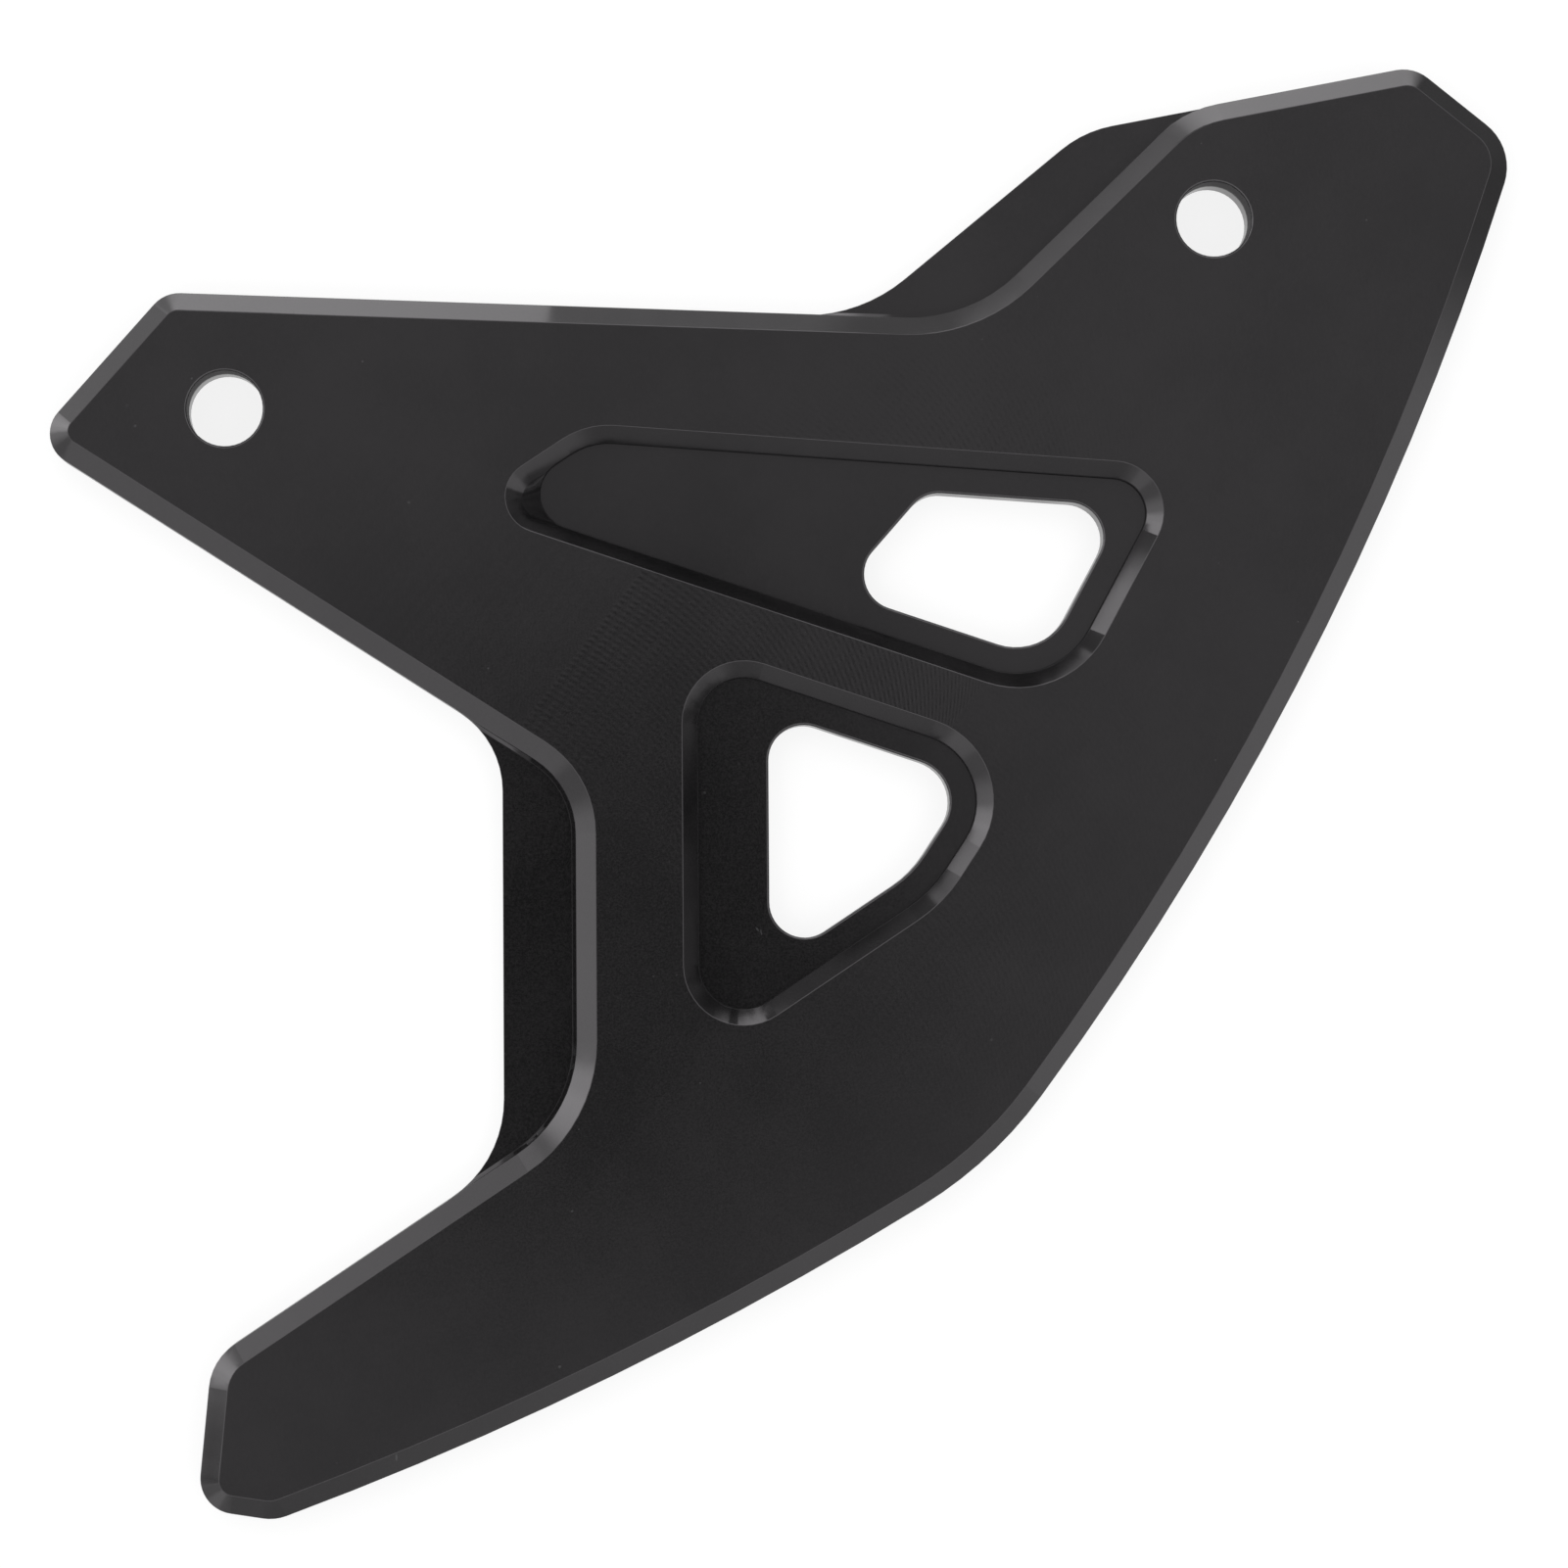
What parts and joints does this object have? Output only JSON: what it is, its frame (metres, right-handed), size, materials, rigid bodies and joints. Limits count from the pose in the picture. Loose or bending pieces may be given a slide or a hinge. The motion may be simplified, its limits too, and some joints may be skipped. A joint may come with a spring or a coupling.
{
  "type": "brake disc guard",
  "caption": "Flat milled guard for a motorbike's brake disc, with bevelled edges, pocketed windows and bolt holes.",
  "frame": {"origin": "midway between the two bolt holes, on the flat back face", "axes": "+X from the left bolt hole to the right one, seen from the bevelled front; +Y towards the top edge, with the lower arm on the -Y side; +Z out of the bevelled front face, square to the plate"},
  "size_m": [0.1736, 0.1369, 0.006],
  "materials": {
    "black_anodised": "fine-milled and black anodised, satin"
  },
  "bodies": {
    "root": {"disc_guard": "black_anodised"}
  },
  "joints": []
}
